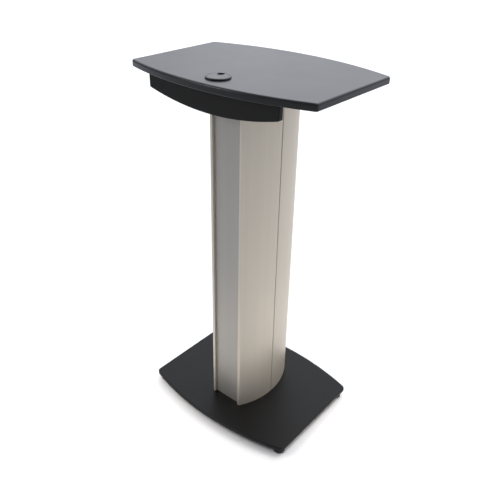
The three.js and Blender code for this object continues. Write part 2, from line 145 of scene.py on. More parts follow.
def new_material(name, **constants):
    """A material with its node tree, its shader and the Object coordinates that patterns follow.
    Each constant is set on the shader's own socket."""
    material = bpy.data.materials.new(name)
    material.use_nodes = True
    tree = material.node_tree
    shader = tree.nodes["Principled BSDF"]
    for socket, value in constants.items():
        shader.inputs[socket.replace("_", " ")].default_value = value
    return material, tree, shader, add_node(tree, "ShaderNodeTexCoord").outputs["Object"]


print("white is", linear("#FFFFFF"), "and mid grey", [round(x, 3) for x in linear("#808080")[:3]])

# %% [markdown]
# ## Floor and light
#
# The lectern stands on a pale matt floor under large soft lamps. The light of the room comes from
# the world, bright at the white wall behind the object and dimmer at the front, which is what keeps
# the faces at the front dark. Six lamps do the rest, and none of them shows itself to the camera:
#
# - A wide box hangs overhead.
# - A small strong box at the front left draws a thin line along each rounded edge.
# - A box at the right lights the bowed side of the column.
# - Two small boxes hang low over the floor, one in front of the base and one at its right, with grids
#   that narrow their beams. The satin aluminium mirrors the warm pools of light below them.
# - A very wide box lights the floor behind.

# %% Floor
def pale_floor():
    material, tree, shader, place = new_material("matt_white_floor", Roughness=0.9, IOR=1.3)
    mottle = add_node(tree, "ShaderNodeTexNoise", {"Vector": place, "Scale": 0.6})
    shade = add_node(
        tree, "ShaderNodeMix",
        {"Factor": mottle.outputs["Fac"], "A": linear("#F4F4F4"), "B": linear("#F8F8F8")},
        data_type="RGBA",
    )
    tree.links.new(shade.outputs["Result"], shader.inputs["Base Color"])
    reach = 30
    mesh = bpy.data.meshes.new("floor")
    corners = [(x * reach, y * reach, 0) for x, y in ((-1, -1), (1, -1), (1, 1), (-1, 1))]
    mesh.from_pydata(corners, [], [(0, 1, 2, 3)])
    mesh.materials.append(material)
    floor = bpy.data.objects.new("floor", mesh)
    bpy.context.scene.collection.objects.link(floor)
    return floor


print(pale_floor().name, "laid at the height of the feet")

# %% Soft boxes and the room's light
def soft_box(name, place, aim, size, brightness, colour, beam=180):
    """A square area light. Its power is brightness times pi times its area, so that brightness is
    what a mirror shows of it, where 1 is white. beam is the angle in degrees that its light fills,
    as with a grid in front of the lamp. The lamp faces from its place to its aim."""
    light = bpy.data.lights.new(name, "AREA")
    light.shape = "RECTANGLE"
    light.size, light.size_y = size
    light.energy = brightness * math.pi * size[0] * size[1]
    light.color = linear(colour)[:3]
    light.spread = math.radians(beam)
    lamp = bpy.data.objects.new(name, light)
    back = np.array(place, float) - np.array(aim, float)
    back /= np.linalg.norm(back)
    across = np.cross([0, 0, 1] if abs(back[2]) < 0.99 else [0, 1, 0], back)
    across /= np.linalg.norm(across)
    axes = Matrix(np.array([across, np.cross(back, across), back]).T).to_4x4()
    lamp.matrix_world = Matrix.Translation(place) @ axes
    lamp.visible_camera = False
    bpy.context.scene.collection.objects.link(lamp)


soft_box("overhead_box", (0.5, 0.9, 2.9), (0.2, 0.4, 0), (1.8, 1.4), 2.2, "#FFFFFF")
soft_box("key_box", (-1.4, -1.8, 2.0), (0, -0.1, 0.8), (0.4, 0.4), 24.0, "#FFFFFF")
soft_box("right_box", (2.6, 1.6, 1.7), (0, 0, 0.6), (0.8, 0.8), 2.0, "#FFFDF8")
soft_box("front_pool", (-0.25, -0.55, 0.6), (-0.15, -0.4, 0), (0.4, 0.4), 2.0, "#FFF8F0", 110)
soft_box("right_pool", (0.6, 0.15, 0.6), (0.45, 0.15, 0), (0.4, 0.5), 1.2, "#FFF3E4", 110)
soft_box("backdrop_box", (-4.5, 6.5, 5.0), (-4.4, 6.3, 0), (14.0, 14.0), 1.5, "#F8FAFF")


def studio_world(front, rear, rear_way):
    """The brightness of the room in a direction rises from front to rear as the direction's dot
    product with the way to the rear wall rises from -0.6 to 0.9."""
    world = bpy.data.worlds.new("studio")
    world.use_nodes = True
    tree = world.node_tree
    way = add_node(tree, "ShaderNodeTexCoord").outputs["Generated"]
    facing = add_node(tree, "ShaderNodeVectorMath", {0: way, 1: rear_way}, operation="DOT_PRODUCT")
    brightness = add_node(
        tree, "ShaderNodeMapRange",
        {
            "Value": facing.outputs["Value"], "From Min": -0.6, "From Max": 0.9,
            "To Min": front, "To Max": rear,
        },
        interpolation_type="SMOOTHSTEP",
    )
    room = tree.nodes["Background"]
    room.inputs["Color"].default_value = linear("#F0F5FF")
    tree.links.new(brightness.outputs["Result"], room.inputs["Strength"])
    bpy.context.scene.world = world


studio_world(0.36, 0.86, (0.2, 0.93, -0.3))
bpy.context.scene.view_settings.view_transform = "Standard"
print(len(bpy.data.lights), "soft boxes in a pale room")

# %% [markdown]
# ## From arrays to a piece
#
# Every piece below is one or more surfaces worked out with numpy. A surface is a grid of points, and
# neighbouring points of the grid make its faces. The helpers here turn grids into faces, join
# several surfaces into one mesh, merge the points they share and turn all faces outwards.
#
# Smooth shading bends the light across a face from one corner's normal to the next. On a wide flat
# face beside a small round, that would show as a false gradient. So each round has one more row of
# points just outside it, on the flat, and edges sharper than 35 degrees are kept crisp.

# %% Grid and mesh helpers
SHARP = math.radians(35)


def grid_faces(rows, columns, close_rows=False, close_columns=True):
    """The quads of a grid whose point in row i and column j has the number i times columns plus j.
    Each joins a point to the next in its row and to their two neighbours in the next row."""
    i, j = np.meshgrid(
        np.arange(rows if close_rows else rows - 1),
        np.arange(columns if close_columns else columns - 1),
        indexing="ij",
    )
    i2, j2 = (i + 1) % rows, (j + 1) % columns
    corners = [i * columns + j, i * columns + j2, i2 * columns + j2, i2 * columns + j]
    return np.stack(corners, -1).reshape(-1, 4).tolist()


def make_piece(node, shells, material):
    """Joins shells, each a pair of points in mm and faces, into the piece that stands for a CAD
    node. Shared points are merged, and then every face is turned outwards."""
    starts = np.cumsum([0] + [len(points) for points, _ in shells])
    faces = [[k + start for k in face] for (_, part), start in zip(shells, starts) for face in part]
    mesh = bpy.data.meshes.new("finished_" + node)
    mesh.from_pydata((np.concatenate([points for points, _ in shells]) * MM).tolist(), [], faces)
    work = bmesh.new()
    work.from_mesh(mesh)
    bmesh.ops.remove_doubles(work, verts=work.verts, dist=2e-6)
    bmesh.ops.recalc_face_normals(work, faces=work.faces)
    work.to_mesh(mesh)
    work.free()
    mesh.polygons.foreach_set("use_smooth", np.ones(len(mesh.polygons), bool))
    mesh.set_sharp_from_angle(angle=SHARP)
    mesh.materials.append(material)
    piece = bpy.data.objects.new("finished_" + node, mesh)
    bpy.context.scene.collection.objects.link(piece)
    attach(piece, frame["nodes"][node]["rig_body"])
    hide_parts(node)
    return piece


print("a 3 by 4 ring of points has", len(grid_faces(3, 4)), "faces")

# %% [markdown]
# ## Outlines and profiles
#
# Two kinds of line describe nearly everything on this lectern. A profile is a run of straight pieces
# whose corners are eased by an arc. An outline is a closed loop seen from above, and going in from it
# by some distance gives the next ring of a rounded edge.

# %% Eased corners and insets
def unit(vectors):
    return vectors / np.linalg.norm(vectors, axis=-1, keepdims=True)


def eased(corners, closed=True, steps=6):
    """A line through corners, each (x, y, radius). A corner with a radius becomes an arc that is
    tangent to both straight runs: its centre lies on the corner's bisector at radius over the sine
    of half the angle, and it starts and ends radius over the tangent of that half angle away."""
    points = np.array([corner[:2] for corner in corners], float)
    runs = []
    for k, (_, _, radius) in enumerate(corners):
        here = points[k]
        if radius == 0 or (not closed and k in (0, len(corners) - 1)):
            runs.append(here[None])
            continue
        back, forth = unit(points[k - 1] - here), unit(points[(k + 1) % len(points)] - here)
        half = math.acos(np.clip(back @ forth, -1, 1)) / 2
        centre = here + unit(back + forth) * radius / math.sin(half)
        reach = radius / math.tan(half)
        first, last = here + back * reach - centre, here + forth * reach - centre
        sweep = math.pi - 2 * half
        t = np.linspace(0, 1, steps + 1)[:, None]
        arc = centre + (np.sin((1 - t) * sweep) * first + np.sin(t * sweep) * last) / math.sin(sweep)
        outside = reach + 0.25 * radius
        runs.append(np.vstack([here + back * outside, arc, here + forth * outside]))
    return np.vstack(runs)


def mitre(outline):
    """For each point of a closed outline that runs anticlockwise, how far it moves for an inset of
    1 mm: the sum of the outward normals of its two edges, divided by 1 plus their product."""
    edges = np.roll(outline, -1, 0) - outline
    after = unit(np.stack([edges[:, 1], -edges[:, 0]], -1))
    before = np.roll(after, 1, 0)
    return (before + after) / (1 + (before * after).sum(1, keepdims=True))


def arc_points(centre, radius, start, end, steps):
    """Points at centre plus radius times the cosine and sine of angles from start to end."""
    angle = np.linspace(start, end, steps + 1)
    return np.stack([centre[0] + radius * np.cos(angle), centre[1] + radius * np.sin(angle)], -1)


print("an eased square has", len(eased([(0, 0, 1), (9, 0, 1), (9, 9, 1), (0, 9, 1)])), "points")

# %% [markdown]
# ## Four ways to make a shell
#
# - A slab is an outline carried up a profile of insets and heights, closed by a flat face at each end.
# - A turning is a profile spun about a vertical axis.
# - An extrusion is a section, with its holes, pushed straight along one axis.
# - A thread is a turning whose radius also depends on the angle, which is what makes it a helix.

# %% Slab, turning and extrusion
def slab_rings(outline, profile):
    """Ring i is the outline moved in by the profile's inset i, at the profile's height i."""
    inset, height = np.asarray(profile, float).T
    flat = outline[None] - inset[:, None, None] * mitre(outline)[None]
    level = np.broadcast_to(height[:, None, None], (*flat.shape[:2], 1))
    return np.concatenate([flat, level], -1)


def slab(outline, profile):
    """The rings of a slab with their quads, and a flat face at the first ring and at the last."""
    rings = slab_rings(outline, profile)
    rows, columns = rings.shape[:2]
    ends = [list(range(columns)), list(range((rows - 1) * columns, rows * columns))]
    return rings.reshape(-1, 3), grid_faces(rows, columns) + ends


def turning(profile, steps=72, closed=True):
    """The point for angle a and profile point (r, z) is (r cos a, r sin a, z)."""
    r, z = np.asarray(profile, float).T
    angle = np.arange(steps) * TAU / steps
    points = np.stack(
        [np.outer(r, np.cos(angle)), np.outer(r, np.sin(angle)), np.outer(z, np.ones(steps))], -1
    )
    return points.reshape(-1, 3), grid_faces(len(r), steps, close_rows=closed)


def extrusion(loops, low, high):
    """Each loop, the outer one first and then its holes, stands as a wall from low to high, and
    the section between them closes both ends."""
    flat = np.vstack(loops)
    count = len(flat)
    points = np.concatenate(
        [np.column_stack([flat, np.full(count, height)]) for height in (low, high)]
    )
    starts = np.cumsum([0] + [len(loop) for loop in loops])
    faces = []
    for loop, start in zip(loops, starts):
        k = start + np.arange(len(loop))
        after = start + (np.arange(len(loop)) + 1) % len(loop)
        faces += np.stack([k, after, after + count, k + count], -1).tolist()
    ends = [list(t) for t in tessellate_polygon([[(*p, 0) for p in loop.tolist()] for loop in loops])]
    return points, faces + ends + [[k + count for k in t] for t in ends]


def stand_up(shell):
    """Turns a shell made in X and Y, with its thickness along Z, so that its Y points up and its
    thickness runs from the front to the rear."""
    points, faces = shell
    return points[:, [0, 2, 1]], faces


def shifted(shell, x=0, y=0, z=0):
    points, faces = shell
    return points + np.array([x, y, z]), faces


ring_section = eased([(5, 0, 1), (9, 0, 1), (9, 4, 1), (5, 4, 1)])
print("a turned ring has", len(turning(ring_section)[1]), "faces")

# %% [markdown]
# ## Black satin laminate
#
# The desk is a fibreboard wrapped in a black decorative laminate. Its melamine surface is pressed
# against a plate with a very fine texture, so it is satin, and not glossy. Seen steeply it is nearly
# black. Seen along its surface it turns grey, because any clear resin reflects more and more light
# as the view gets flatter. That comes from the shader's IOR and needs no paint.
#
# The real grain is about 0.3 mm. It is drawn at 1.2 mm here, which is as fine as shows, and it only
# touches the bump. Hands and papers polish a laminate unevenly, in soft patches some 90 mm across.
# The paint, the powder, the plastics and the zinc further on are uneven in the same soft way, each
# with patches of its own size, so that drift of colour and gloss is a helper of its own.

# %% Drift of colour and gloss
def add_drift(tree, shader, place, patch, detail, colours, roughness):
    """A soft noise with patches of that size in metres takes the shader from the first colour to
    the second, and from the first roughness to the second."""
    drift = add_node(tree, "ShaderNodeTexNoise", {"Vector": place, "Scale": 1 / patch, "Detail": detail})
    colour = add_node(
        tree, "ShaderNodeMix",
        {"Factor": drift.outputs["Fac"], "A": linear(colours[0]), "B": linear(colours[1])},
        data_type="RGBA",
    )
    rough = add_node(
        tree, "ShaderNodeMapRange",
        {
            "Value": drift.outputs["Fac"], "From Min": 0.3, "From Max": 0.7,
            "To Min": roughness[0], "To Max": roughness[1],
        },
    )
    tree.links.new(colour.outputs["Result"], shader.inputs["Base Color"])
    tree.links.new(rough.outputs["Result"], shader.inputs["Roughness"])


print("patches of 90 mm take a noise scale of", round(1 / 0.09, 1), "to the metre")

# %% Laminate material
def satin_laminate():
    material, tree, shader, place = new_material("melamine_laminate_pressed_satin", IOR=1.4)
    add_drift(tree, shader, place, 0.09, 3, ("#131416", "#16171A"), (0.31, 0.33))
    grain = add_node(tree, "ShaderNodeTexNoise", {"Vector": place, "Scale": 1 / 0.0012, "Detail": 2})
    bump = add_node(
        tree, "ShaderNodeBump", {"Height": grain.outputs["Fac"], "Strength": 0.12, "Distance": 0.00006}
    )
    tree.links.new(bump.outputs["Normal"], shader.inputs["Normal"])
    return material


laminate = satin_laminate()
print("made", laminate.name)

# %% [markdown]
# ## The desk
#
# Desk and base have the same kind of outline: straight sides, and bowed front and rear edges, each an
# arc of a large circle, with small arcs at the corners. Half the width and the rise of a bow give its
# radius, as on a drawing: half width squared plus rise squared, divided by twice the rise.
#
# The board's edge is postformed. The laminate runs over a 6 mm round at the top, and a 2 mm one below.
# The rings run, in order, from the flat underside round the edge to the top, in to the rim of the
# cable grommet's hole and down the hole, so the whole board is one closed grid.

# %% Bowed outline
def bowed_outline(node, front_rise, rear_rise, corner, arc_steps=88, corner_steps=8):
    """Anticlockwise from the front left. Each corner arc touches the straight side and the bow, so
    its centre is corner in from the side, and the bow's radius less corner from the bow's centre."""
    low, high = box_mm(node)
    half = (high[0] - low[0]) / 2
    x = half - corner
    bows = []
    for sign, middle, rise in ((-1, low[1], front_rise), (1, high[1], rear_rise)):
        radius = (half * half + rise * rise) / (2 * rise)
        centre = middle - sign * radius
        corner_y = centre + sign * math.sqrt((radius - corner) ** 2 - x * x)
        bows.append((radius, centre, corner_y, math.acos(x / (radius - corner))))
    (r0, c0, y0, a0), (r1, c1, y1, a1) = bows
    return np.vstack([
        arc_points((0, c0), r0, a0 - math.pi, -a0, arc_steps)[1:-1],
        arc_points((x, y0), corner, -a0, 0, corner_steps),
        arc_points((x, y1), corner, 0, a1, corner_steps),
        arc_points((0, c1), r1, a1, math.pi - a1, arc_steps)[1:-1],
        arc_points((-x, y1), corner, math.pi - a1, math.pi, corner_steps),
        arc_points((-x, y0), corner, -math.pi, a0 - math.pi, corner_steps),
    ])


def edge_profile(low, high, top_round, bottom_round, steps=8):
    """Insets and heights from the flat underside, round the edge, to the flat top. It ends just
    inside the top round, because an inset wider than an outline's corner folds over itself."""
    inner = top_round + 1.5
    corners = [(inner, low, 0), (0, low, bottom_round), (0, high, top_round), (inner, high, 0)]
    return eased(corners, closed=False, steps=steps)


DESK_BOWS = (51.5, 58.5)
desk_outline = bowed_outline("desktop", *DESK_BOWS, 9)
print("desk outline of", len(desk_outline), "points,", np.ptp(desk_outline, 0).round(1), "mm")

# %% Desk
GROMMET_Y = -153
GROMMET_HOLE = 25.5


def desk_board():
    """The edge's rings, and then a ring at the hole's rim for each point of the outline, in the
    direction in which that point lies from the hole."""
    low, high = box_mm("desktop")
    edge = slab_rings(desk_outline, edge_profile(low[2], high[2], 6, 2))
    away = unit(desk_outline - np.array([0, GROMMET_Y]))
    rim = away * GROMMET_HOLE + np.array([0, GROMMET_Y])
    count = len(rim)
    hole = np.stack([np.column_stack([rim, np.full(count, z)]) for z in (high[2], low[2])])
    rings = np.concatenate([edge, hole])
    return rings.reshape(-1, 3), grid_faces(len(rings), count, close_rows=True)


desk = make_piece("desktop", [desk_board()], laminate)
print(desk.name, "has", len(desk.data.polygons), "faces")

# %% [markdown]
# ## Fascia
#
# The fascia is a flat board that hangs under the front of the desk and hides the way of the cable.
# Its upper edge is straight, and its lower edge is one long arc. It is sprayed with satin black
# paint over fibreboard, which leaves a faint orange peel of about 2 mm.
#
# Behind the grommet the board is hollowed, so that a cable drops straight. A boolean takes that
# half-round out, since it crosses two faces of the board. It leaves long thin faces round the cut, so
# the normals are weighted by face area afterwards, and the flat front stays evenly lit.

# %% Black paint material
def sprayed_paint():
    material, tree, shader, place = new_material("sprayed_satin_black_paint", IOR=1.27)
    add_drift(tree, shader, place, 0.06, 3, ("#0F0E0D", "#141312"), (0.5, 0.58))
    peel = add_node(tree, "ShaderNodeTexNoise", {"Vector": place, "Scale": 1 / 0.002, "Detail": 1})
    bump = add_node(
        tree, "ShaderNodeBump", {"Height": peel.outputs["Fac"], "Strength": 0.25, "Distance": 0.00008}
    )
    tree.links.new(bump.outputs["Normal"], shader.inputs["Normal"])
    return material


black_paint = sprayed_paint()
print("made", black_paint.name)

# %% Fascia board
def fascia_outline():
    """In X and Z, anticlockwise from the upper right: the lower arc's radius comes from half the
    width and the arc's rise, and a 4 mm arc eases each lower corner."""
    low, high = box_mm("fascia")
    half, corner, rise = high[0], 4, 29
    radius = (half * half + rise * rise) / (2 * rise)
    centre = low[2] + radius
    x = half - corner
    corner_z = centre - math.sqrt((radius - corner) ** 2 - x * x)
    angle = math.atan2(centre - corner_z, x)
    return np.vstack([
        [[half, high[2]], [-half, high[2]]],
        arc_points((-x, corner_z), corner, -math.pi, angle - math.pi, 8),
        arc_points((0, centre), radius, angle - math.pi, -angle, 88)[1:-1],
        arc_points((x, corner_z), corner, -angle, 0, 8),
    ])


def carve(piece, shell):
    """Takes a shell out of a piece with a boolean, weights the normals by face area, keeps the
    result and removes the cutter."""
    points, faces = shell
    tool_mesh = bpy.data.meshes.new("cutter")
    tool_mesh.from_pydata((points * MM).tolist(), [], faces)
    tool = bpy.data.objects.new("cutter", tool_mesh)
    bpy.context.scene.collection.objects.link(tool)
    cut = piece.modifiers.new("cut", "BOOLEAN")
    cut.operation, cut.solver, cut.object = "DIFFERENCE", "EXACT", tool
    weigh = piece.modifiers.new("weigh", "WEIGHTED_NORMAL")
    weigh.keep_sharp = True
    bpy.context.view_layer.update()
    graph = bpy.context.evaluated_depsgraph_get()
    carved = bpy.data.meshes.new_from_object(piece.evaluated_get(graph))
    piece.modifiers.clear()
    piece.data = carved
    piece.data.set_sharp_from_angle(angle=SHARP)
    bpy.data.objects.remove(tool)


def fascia_board():
    low, high = box_mm("fascia")
    board = stand_up(slab(fascia_outline(), edge_profile(low[1], high[1], 2.2, 2.2, steps=6)))
    return make_piece("fascia", [board], black_paint)


HOLLOW_DEPTH = 29
CUTTER_HEIGHT = 60

fascia = fascia_board()
hollow_low = box_mm("desktop")[0][2] - HOLLOW_DEPTH
hollow_loop = arc_points((0, GROMMET_Y), GROMMET_HOLE, 0, TAU, 64)[:-1]
carve(fascia, extrusion([hollow_loop], hollow_low, hollow_low + CUTTER_HEIGHT))
print(fascia.name, "has", len(fascia.data.polygons), "faces")

# %% [markdown]
# ## Anodised aluminium
#
# The column is made of extrusions. Aluminium is pushed hot through a die, and every nick of the die
# draws a line along the whole length. Clear anodising keeps those lines and makes the metal satin.
# So the pattern is a noise that is fine across the length and hardly changes along it: the scale is
# high in X and Y and close to zero in Z. Real die lines are a few tenths of a millimetre wide. They
# are drawn in two widths here, 1.5 mm and 6 mm, since the narrow ones alone would blur away.
#
# The etched oxide layer scatters part of the light before the metal mirrors it, so Metallic is 0.45
# and the shader keeps its default IOR. The lines spread a reflection sideways and not lengthwise,
# which is what Anisotropic does, with its direction given by the Tangent. The bowed quarters are
# slightly warm and the panels a darker grey. The bars behind the seams are coloured near black as
# painted shade in the seam gap, so that a seam reads as a dark line.

# %% Anodised material
def anodised(name, dark, light, smooth, coarse):
    """Two sheets of lengthwise lines, mixed half and half, drive colour, roughness and bump."""
    material, tree, shader, place = new_material(
        name, Metallic=0.45, Anisotropic=0.5, Anisotropic_Rotation=0.25
    )
    lines = []
    for width, seed in ((0.0015, 0.0), (0.006, 4.0)):
        stretched = add_node(
            tree, "ShaderNodeMapping",
            {"Vector": place, "Location": (seed, seed, 0), "Scale": (1 / width, 1 / width, 0.4)},
        )
        lines.append(add_node(
            tree, "ShaderNodeTexNoise", {"Vector": stretched.outputs["Vector"], "Scale": 1, "Detail": 2}
        ))
    mixed = add_node(
        tree, "ShaderNodeMix",
        {"Factor": 0.5, "A": lines[0].outputs["Fac"], "B": lines[1].outputs["Fac"]},
        data_type="FLOAT",
    )
    even = add_node(
        tree, "ShaderNodeMapRange",
        {"Value": mixed.outputs["Result"], "From Min": 0.32, "From Max": 0.68},
    )
    colour = add_node(
        tree, "ShaderNodeMix",
        {"Factor": even.outputs["Result"], "A": linear(dark), "B": linear(light)},
        data_type="RGBA",
    )
    rough = add_node(
        tree, "ShaderNodeMapRange",
        {"Value": even.outputs["Result"], "To Min": coarse, "To Max": smooth},
    )
    bump = add_node(
        tree, "ShaderNodeBump",
        {"Height": mixed.outputs["Result"], "Strength": 0.05, "Distance": 0.00006},
    )
    lengthwise = add_node(tree, "ShaderNodeCombineXYZ", {"Z": 1})
    tree.links.new(lengthwise.outputs["Vector"], shader.inputs["Tangent"])
    tree.links.new(colour.outputs["Result"], shader.inputs["Base Color"])
    tree.links.new(rough.outputs["Result"], shader.inputs["Roughness"])
    tree.links.new(bump.outputs["Normal"], shader.inputs["Normal"])
    return material


column_metal = anodised("anodised_extruded_aluminium", "#C0B7A9", "#C4BBAD", 0.44, 0.47)
panel_metal = anodised("anodised_sheet_aluminium", "#9B9791", "#9F9B95", 0.44, 0.47)
# Painted shade: the bars behind the seams are coloured near black so that the seam gap looks shadowed.
seam_shade_metal = anodised("seam_bar_painted_shade", "#1E1C1A", "#24211F", 0.55, 0.6)
print("made", column_metal.name + ",", panel_metal.name, "and", seam_shade_metal.name)

# %% [markdown]
# ## Column quarters
#
# One section serves all four quarters of the column, mirrored left to right and front to rear. It has
# half of a bowed side, a rounded lip at the front, a slot that holds the panel, a hook for the bar
# behind the seam, and two round bosses that take the screws of the base and of the top plate. An
# extrusion is the natural way: the section is drawn once, with its holes, and pushed to full height.
#
# A boss stands on the wall, so the section leaves the wall where the two circles cross, and runs round
# the boss until they cross again. The angle from the bow's centre follows from the law of cosines.

# %% Column section
BOW_RADIUS = 238.8
HALF_WIDTH = box_mm("column_front_right")[1][0]
BOW_CENTRE = HALF_WIDTH - BOW_RADIUS
HALF_DEPTH = box_mm("column_rear_right")[1][1]
SKIN = 2.6
BOSS, BORE, BOSS_INSET = 4.6, 2.75, 3.8
BOSS_DISTANCES = (104, 26)
# The two faces of the panel's slot, and of the bar's hook, as distances from the seam.
SLOT = (112.2, 114.4)
HOOK = (12.2, 14.2)


def bow_angle(distance, radius):
    """The angle at the bow's centre of a point on a circle of that radius, by its distance from
    the seam: the arcsine of distance over radius."""
    return math.asin(distance / radius)


def boss_centre(distance):
    radius = BOW_RADIUS - SKIN - BOSS_INSET
    angle = bow_angle(distance, radius)
    return np.array([BOW_CENTRE + radius * math.cos(angle), radius * math.sin(angle)]), angle


def inner_wall(first, last):
    """The wall's inner face from one distance to the other, round each boss on the way."""
    inner, orbit = BOW_RADIUS - SKIN, BOW_RADIUS - SKIN - BOSS_INSET
    spread = math.acos((inner ** 2 + orbit ** 2 - BOSS ** 2) / (2 * inner * orbit))
    runs, start = [], bow_angle(first, inner)
    for distance in BOSS_DISTANCES:
        centre, angle = boss_centre(distance)
        runs.append(arc_points((BOW_CENTRE, 0), inner, start, angle + spread, 16))
        opening = math.atan2(*(runs[-1][-1] - centre)[::-1]) - angle
        runs.append(arc_points(centre, BOSS, angle + opening, angle - opening + TAU, 24)[1:-1])
        start = angle - spread
    runs.append(arc_points((BOW_CENTRE, 0), inner, start, bow_angle(last, inner), 12))
    return np.vstack(runs)


print("boss centres at", [boss_centre(d)[0].round(1).tolist() for d in BOSS_DISTANCES])

# %% Column quarters
def quarter_section():
    """The section of the quarter at the right rear, anticlockwise from the seam: the seam's round,
    the bow, the lip, the slot of the panel, the wall's inner face, and the hook of the seam's bar."""
    seam_gap, seam_round, lip = 1.2, 1.6, 5
    seam_v = seam_gap + seam_round
    seam_angle = bow_angle(seam_v, BOW_RADIUS - seam_round)
    seam_x = BOW_CENTRE + (BOW_RADIUS - seam_round) * math.cos(seam_angle)
    lip_angle = bow_angle(HALF_DEPTH - lip, BOW_RADIUS - lip)
    lip_x = BOW_CENTRE + (BOW_RADIUS - lip) * math.cos(lip_angle)
    inside = HALF_WIDTH - SKIN
    slot = eased([
        (lip_x, HALF_DEPTH, 0), (48, HALF_DEPTH, 1.4), (48, 118, 0.3), (54, 118, 0.4),
        (54, SLOT[1], 0.4), (46, SLOT[1], 0.4), (46, SLOT[0], 0.4), (60, SLOT[0], 0),
    ], closed=False, steps=4)[1:-1]
    hook = eased([
        (inside, HOOK[1], 0), (84.3, HOOK[1], 0.8), (84.3, 8, 0.5), (86.3, 8, 0.5),
        (86.3, HOOK[0], 0.4), (inside - 0.3, HOOK[0], 0),
    ], closed=False, steps=3)[1:-1]
    wall = BOW_RADIUS - SKIN
    return np.vstack([
        arc_points((seam_x, seam_v), seam_round, -math.pi / 2, seam_angle, 8),
        arc_points((BOW_CENTRE, 0), BOW_RADIUS, seam_angle, lip_angle, 72)[1:],
        arc_points((lip_x, HALF_DEPTH - lip), lip, lip_angle, math.pi / 2, 12)[1:],
        slot,
        inner_wall(SLOT[0], HOOK[1]),
        hook,
        arc_points((BOW_CENTRE, 0), wall, bow_angle(HOOK[0], wall), bow_angle(seam_gap, wall), 4),
    ])


quarter_loops = [quarter_section()]
quarter_loops += [arc_points(boss_centre(d)[0], BORE, 0, TAU, 24)[:-1] for d in BOSS_DISTANCES]
for end, sy in (("front", -1), ("rear", 1)):
    for side, sx in (("left", -1), ("right", 1)):
        node = f"column_{end}_{side}"
        low, high = box_mm(node)
        loops = [loop * np.array([sx, sy]) for loop in quarter_loops]
        make_piece(node, [extrusion(loops, low[2], high[2])], column_metal)
print("four quarters with a section of", len(quarter_loops[0]), "points")

# %% [markdown]
# ## Panels and seam bars
#
# A flat panel slides into the slots of two quarters at the front, and another at the rear. The front
# one stops below the desk to let the cable in. The rear one has a round-cornered notch at its foot to
# let it out. Behind each seam of the bowed sides a flat bar sits in the hooks and keeps the halves
# level. All four are cut sheet or bar, so their edges are only just broken.

# %% Panels and bars
def sheet_section(node, ease):
    """A node's own rectangle in plan, with its corners eased."""
    (x0, y0, _), (x1, y1, _) = box_mm(node)
    return eased([(x0, y0, ease), (x1, y0, ease), (x1, y1, ease), (x0, y1, ease)], steps=4)


def upright_bar(node, ease, metal):
    low, high = box_mm(node)
    return make_piece(
        node, [extrusion([sheet_section(node, ease)], low[2], high[2])], metal
    )


def rear_panel():
    """In X and Z: a rectangle whose lower edge has a notch 50 mm wide and 24 mm high."""
    low, high = box_mm("rear_panel")
    z0, z1, x = low[2], high[2], high[0]
    notch_x, notch_z = 25, z0 + 24
    outline = eased([
        (-x, z0, 0.4), (-notch_x, z0, 0.6), (-notch_x, notch_z, 8), (notch_x, notch_z, 8),
        (notch_x, z0, 0.6), (x, z0, 0.4), (x, z1, 0.4), (-x, z1, 0.4),
    ])
    sheet = stand_up(slab(outline, edge_profile(low[1], high[1], 0.3, 0.3, steps=3)[1:-1]))
    return make_piece("rear_panel", [sheet], panel_metal)


bars = [upright_bar("front_panel", 0.5, panel_metal), upright_bar("seam_spline_left", 0.6, seam_shade_metal)]
bars += [upright_bar("seam_spline_right", 0.6, seam_shade_metal), rear_panel()]
print("made", ", ".join(bar.name for bar in bars))

# %% [markdown]
# ## Base plate
#
# The base is a steel plate, coated with black powder that is melted on in an oven. The powder flows
# into a finely pebbled skin, with a grain near 0.6 mm, that is a little glossier than the sprayed
# paint. It is drawn at 1.6 mm. The outline is bowed as the desk's is. The cut edge is rounded by 3 mm
# above and 1.5 mm below, so that the powder holds on it, and the upper round catches the lamps.
#
# The underside has countersunk holes for the screws of the column and blind holes for the feet. A
# slab with plain ends can't have those, so the underside is closed with the holes left open, and each
# hole brings its own turned wall. The plate at the top of the column keeps its CAD shape and takes
# the same powder.

# %% Powder coat material
def powder_coat():
    material, tree, shader, place = new_material("black_powder_coated_steel", IOR=1.25)
    pebbles = add_node(
        tree, "ShaderNodeTexVoronoi", {"Vector": place, "Scale": 1 / 0.0016}, feature="SMOOTH_F1"
    )
    add_drift(tree, shader, place, 0.11, 4, ("#0E0E0F", "#121212"), (0.38, 0.44))
    bump = add_node(
        tree, "ShaderNodeBump",
        {"Height": pebbles.outputs["Distance"], "Strength": 0.2, "Distance": 0.00012},
    )
    tree.links.new(bump.outputs["Normal"], shader.inputs["Normal"])
    return material


powder = powder_coat()
print("made", powder.name)

# %% Holes
ROUND_STEPS = 36


def node_middle(node):
    low, high = box_mm(node)
    return (low + high) / 2


def circle(centre, radius):
    return arc_points(centre[:2], radius, 0, TAU, ROUND_STEPS)[:-1]


def open_face(loops, height):
    """The flat face between an outer loop and the holes in it, at one height."""
    flat = np.vstack(loops)
    triangles = tessellate_polygon([[(*p, 0) for p in loop.tolist()] for loop in loops])
    return np.column_stack([flat, np.full(len(flat), height)]), [list(t) for t in triangles]


def hole_wall(centre, steps_up):
    """Rings of one hole, one for each (radius, height), all with the same angles."""
    rings = np.stack([np.column_stack([circle(centre, r), np.full(ROUND_STEPS, z)]) for r, z in steps_up])
    return rings.reshape(-1, 3), grid_faces(len(steps_up), ROUND_STEPS)


print("a plain hole has", len(hole_wall((0, 0), [(5, 0), (5, 10)])[1]), "faces in its wall")

# %% Base plate
BASE_BOW = 42.7
SCREW_HOLE, COUNTERSINK, COUNTERSINK_DEPTH = 3, 6.6, 3.5
STUD_HOLE, STUD_DEPTH = 5, 10.5


